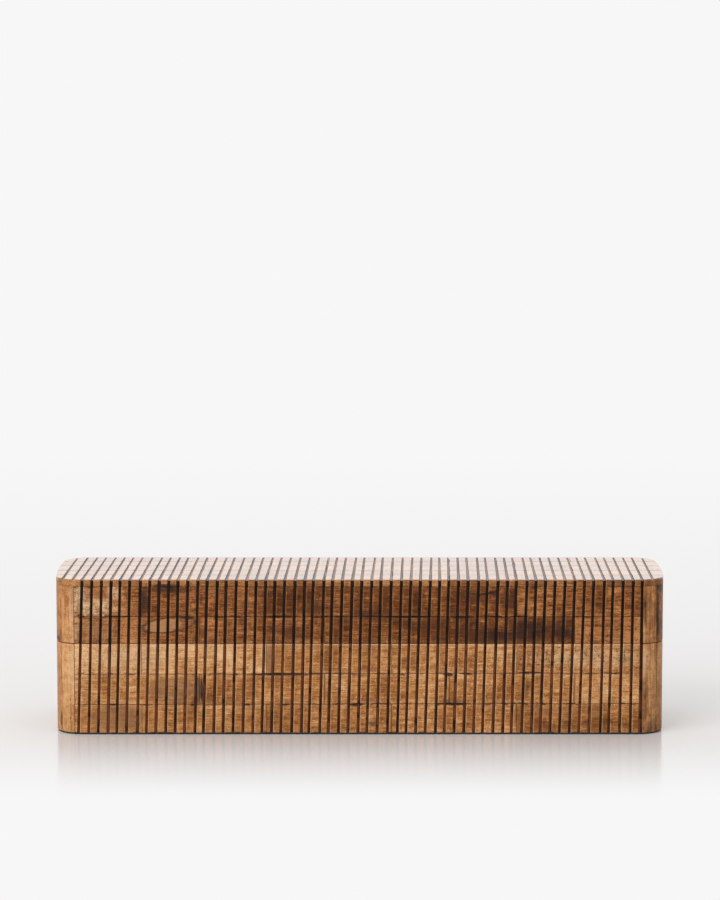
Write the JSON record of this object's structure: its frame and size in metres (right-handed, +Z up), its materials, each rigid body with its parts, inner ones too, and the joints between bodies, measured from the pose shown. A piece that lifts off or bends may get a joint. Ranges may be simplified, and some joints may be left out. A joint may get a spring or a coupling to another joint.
{
  "type": "keepsake box",
  "caption": "Long low keepsake box with rounded corners, clad in burnt slips in brick bond with sawn cross grooves; the lid swings up on brass stop hinges.",
  "frame": {"origin": "on the table, under the middle of the box's plan, leaving out the hinges behind it", "axes": "+X along the box to the right, +Y from front to back, +Z up"},
  "size_m": [0.4, 0.1084, 0.103],
  "materials": {
    "lid_slips": "burnt dark brown slips, waxed satin, near black grooves",
    "top_slips": "burnt brown slips, polished satin, dark grooves",
    "lid_corner_slips": "brown upright corner pieces, waxed satin",
    "base_slips": "tan slips with fine fibre and specks, waxed satin, dark red-brown grooves",
    "base_corner_slips": "tan upright corner pieces, waxed satin",
    "core_wood": "brown stained boards, matte",
    "base_felt": "black felt",
    "hinge_brass": "satin aged brass",
    "hinge_screw_brass": "satin aged brass"
  },
  "bodies": {
    "base": {"base_back_board": "core_wood", "base_back_cladding": "base_slips", "base_bottom_board": "core_wood", "base_corner_back_left": "base_corner_slips", "base_corner_back_right": "base_corner_slips", "base_corner_front_left": "base_corner_slips", "base_corner_front_right": "base_corner_slips", "base_felt": "base_felt", "base_front_board": "core_wood", "base_front_slips_row_1": "base_slips", "base_front_slips_row_2": "base_slips", "base_front_slips_row_3": "base_slips", "base_hinge_screws": "hinge_screw_brass", "base_left_board": "core_wood", "base_left_end_slips": "base_slips", "base_right_board": "core_wood", "base_right_end_slips": "base_slips", "left_hinge_base_leaf": "hinge_brass", "left_hinge_pin": "hinge_brass", "right_hinge_base_leaf": "hinge_brass", "right_hinge_pin": "hinge_brass"},
    "lid": {"left_hinge_lid_leaf": "hinge_brass", "lid_back_board": "core_wood", "lid_back_cladding": "lid_slips", "lid_corner_back_left": "lid_corner_slips", "lid_corner_back_right": "lid_corner_slips", "lid_corner_front_left": "lid_corner_slips", "lid_corner_front_right": "lid_corner_slips", "lid_front_board": "core_wood", "lid_front_slips_row_1": "lid_slips", "lid_front_slips_row_2": "lid_slips", "lid_hinge_screws": "hinge_screw_brass", "lid_left_board": "core_wood", "lid_left_end_slips": "lid_slips", "lid_right_board": "core_wood", "lid_right_end_slips": "lid_slips", "lid_top_board": "core_wood", "lid_top_slips_row_1": "top_slips", "lid_top_slips_row_2": "top_slips", "lid_top_slips_row_3": "top_slips", "lid_top_slips_row_4": "top_slips", "lid_top_slips_row_5": "top_slips", "right_hinge_lid_leaf": "hinge_brass"}
  },
  "joints": [
    {"name": "lid_hinge", "type": "hinge", "parent": "base", "child": "lid", "pos_m": [0, 0.0526, 0.06035], "axis": [-1, 0, 0], "range_deg": [0, 100]}
  ]
}
